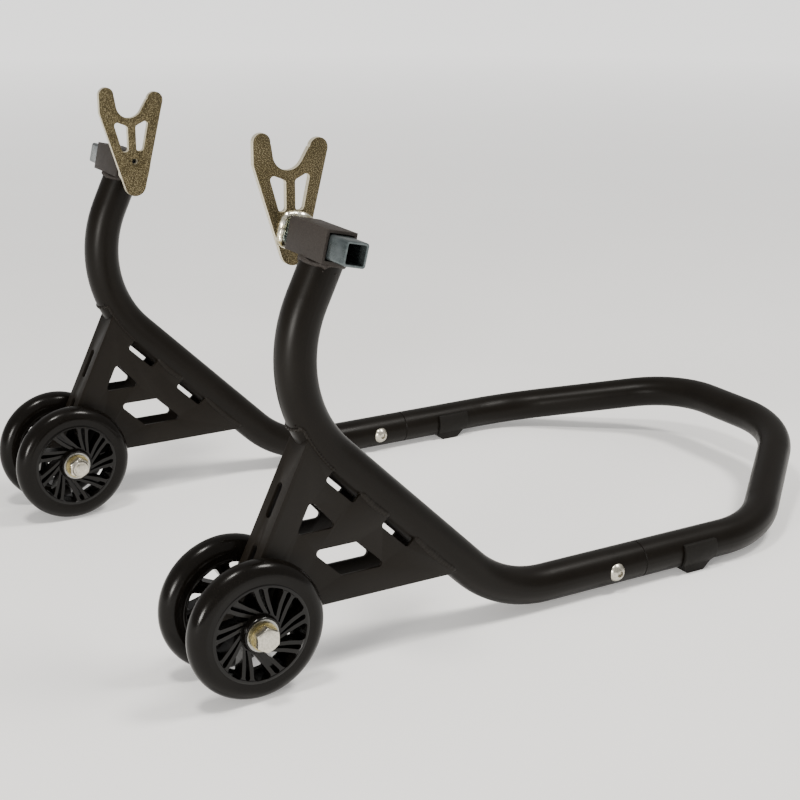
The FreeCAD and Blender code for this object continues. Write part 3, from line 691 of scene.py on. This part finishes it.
socketWeldShape = {
    "radius": 0.0023, "lean": math.radians(13), "ringLift": 0.0004, "ringWave": 0.0008,
    "ripple": 0.06, "seed": 41, "depth": 0.6, "ringPoints": 36,
    # turn and drop
    "spatter": ((0.4, 0.0052), (0.9, 0.0071), (1.3, 0.0046), (-0.3, 0.0062), (2.2, 0.0055)),
    "spatterRadius": 0.0009,
    # turn and radius
    "lumps": ((0.35, 0.0028), (0.75, 0.0024), (1.9, 0.0025), (3.6, 0.0026), (4.9, 0.0025)),
    "lumpDrop": 0.0008,
}


def socketAxes(centre, x, y, z):
    # from the socket's own leaning axes
    lean = socketWeldShape["lean"]
    return centre + Vector((x, y * math.cos(lean) + z * math.sin(lean),
                            -y * math.sin(lean) + z * math.cos(lean)))


def makeSocketWeld(side, hand):
    shape = socketWeldShape
    under = middleOf("socket_weld_" + side)
    reach = armLine["tubeRadius"]
    ring = []
    for i in range(shape["ringPoints"]):
        turn = 2 * math.pi * i / shape["ringPoints"]
        lift = shape["ringLift"] + shape["ringWave"] * math.sin(3 * turn + 1)
        ring.append(socketAxes(under, reach * math.cos(turn), reach * math.sin(turn), lift))
    parts = [beadRun(ring, shape["radius"], shape["seed"], shape["ripple"], closed=True)]
    for turn, radius in shape["lumps"]:
        parts.append(spatterBall(socketAxes(under, hand * reach * math.cos(turn), -reach * math.sin(turn),
                                            -shape["lumpDrop"]), radius))
    for turn, drop in shape["spatter"]:
        parts.append(spatterBall(socketAxes(under, hand * reach * math.cos(turn), -reach * math.sin(turn),
                                            -drop), shape["spatterRadius"]))
    weld = joinAndMelt("socket_weld_" + side + "_beads", parts, shape["depth"])
    standFor(weld, "textured_paint", finishes["texturedPaint"], "socket_weld_" + side)


forkWeldShape = {
    "radius": 0.0039, "half": 0.0124, "square": 4.0, "out": 0.0006,
    "ripple": 0.04, "pitch": 0.0070, "seed": 61, "depth": 0.9, "loopPoints": 48,
}


def makeForkWeld(side, hand):
    shape = forkWeldShape
    bar = middleOf("fork_bar_" + side)
    inner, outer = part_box("fork_plate_" + side)
    face = (outer.x if hand > 0 else inner.x) + hand * shape["out"]
    square = shape["square"]
    loop = []
    for i in range(shape["loopPoints"]):
        angle = 2 * math.pi * i / shape["loopPoints"]
        c, s = math.cos(angle), math.sin(angle)
        reach = shape["half"] / (abs(c) ** square + abs(s) ** square) ** (1 / square)
        spot = socketAxes(bar, 0, reach * c, reach * s)
        loop.append(Vector((face, spot.y, spot.z)))
    bead = beadRun(loop, shape["radius"], shape["seed"], shape["ripple"], True, shape["pitch"])
    weld = joinAndMelt("fork_weld_" + side + "_bead", [bead], shape["depth"])
    standFor(weld, "bright_zinc", finishes["weldMetal"], "fork_weld_" + side)


for side, hand in sides:
    makeGussetWeld(side, hand)
    makeSocketWeld(side, hand)
    makeForkWeld(side, hand)
print("welds laid")


studio = {
    "floorSize": 60, "floorDrop": 0.0002, "floorGlow": (0.22, 1.30), "glowReach": (0.6, 5.0),
    "floorCloud": 3, "floorColours": ((0.3, (0.90, 0.895, 0.885)), (0.7, (0.93, 0.925, 0.915))),
    "glowColour": (1.0, 0.99, 0.975), "floorRoughness": 0.9, "floorSpecular": 0.1,
    "worldColour": (1.0, 0.985, 0.965), "worldStrength": 0.50, "lampColour": (1.0, 0.97, 0.92),
    "cameraPlace": (1.2659, -0.8141, 0.62069), "cameraLook": (-0.83222, 0.46672, -0.29931),
    "lens": 69.224, "sensor": 36, "shiftX": 0.05, "shiftY": -0.025, "farthest": 200,
    # place, aims at, size, watts
    "lights": {
        "key": ((1.10, -2.05, 0.50), (0.1, -0.15, 0.28), 0.50, 34),
        "lamp": ((0.35, -0.75, 2.1), (0, -0.2, 0.1), 0.35, 26),
        "top": ((0.65, 0.85, 2.1), (0.1, 0.0, 0.1), 0.6, 36),
    },
}


def makeFloor():
    bpy.ops.mesh.primitive_plane_add(size=studio["floorSize"], location=(0, 0, -studio["floorDrop"]))
    floor = bpy.context.object
    floor.name = "studio_floor"
    paper = bpy.data.materials.new("paleFloor")
    paper.use_nodes = True
    tree = paper.node_tree
    shader = tree.nodes["Principled BSDF"]
    place = tree.nodes.new("ShaderNodeTexCoord")
    cloud = addNoise(tree, place, studio["floorCloud"], "floorDetail")
    tree.links.new(addRamp(tree, cloud, studio["floorColours"]), shader.inputs["Base Color"])
    # paler towards the far edge, where the lamps do not reach
    reach = tree.nodes.new("ShaderNodeVectorMath")
    reach.operation = "LENGTH"
    tree.links.new(place.outputs["Object"], reach.inputs[0])
    tree.links.new(addRange(tree, reach.outputs["Value"], *studio["floorGlow"], *studio["glowReach"]),
                   shader.inputs["Emission Strength"])
    shader.inputs["Emission Color"].default_value = (*studio["glowColour"], 1)
    shader.inputs["Roughness"].default_value = studio["floorRoughness"]
    shader.inputs["Specular IOR Level"].default_value = studio["floorSpecular"]
    floor.data.materials.append(paper)


def makeLights():
    for name, (place, aim, size, watts) in studio["lights"].items():
        lamp = bpy.data.lights.new(name, "AREA")
        lamp.shape = "DISK"
        lamp.size = size
        lamp.energy = watts
        lamp.color = studio["lampColour"]
        light = bpy.data.objects.new(name, lamp)
        bpy.context.scene.collection.objects.link(light)
        light.location = place
        light.rotation_euler = (Vector(aim) - Vector(place)).to_track_quat("-Z", "Y").to_euler()
    world = bpy.data.worlds.new("studio")
    bpy.context.scene.world = world
    world.use_nodes = True
    sky = world.node_tree.nodes["Background"]
    sky.inputs["Color"].default_value = (*studio["worldColour"], 1)
    sky.inputs["Strength"].default_value = studio["worldStrength"]


def makeCamera():
    camera = bpy.data.objects.new("camera", bpy.data.cameras.new("camera"))
    bpy.context.scene.collection.objects.link(camera)
    camera.location = studio["cameraPlace"]
    camera.rotation_euler = Vector(studio["cameraLook"]).to_track_quat("-Z", "Y").to_euler()
    camera.data.sensor_width = studio["sensor"]
    camera.data.lens = studio["lens"]
    camera.data.shift_x = studio["shiftX"]
    camera.data.shift_y = studio["shiftY"]
    camera.data.clip_end = studio["farthest"]
    bpy.context.scene.camera = camera


makeFloor()
makeLights()
makeCamera()
print("studio set")
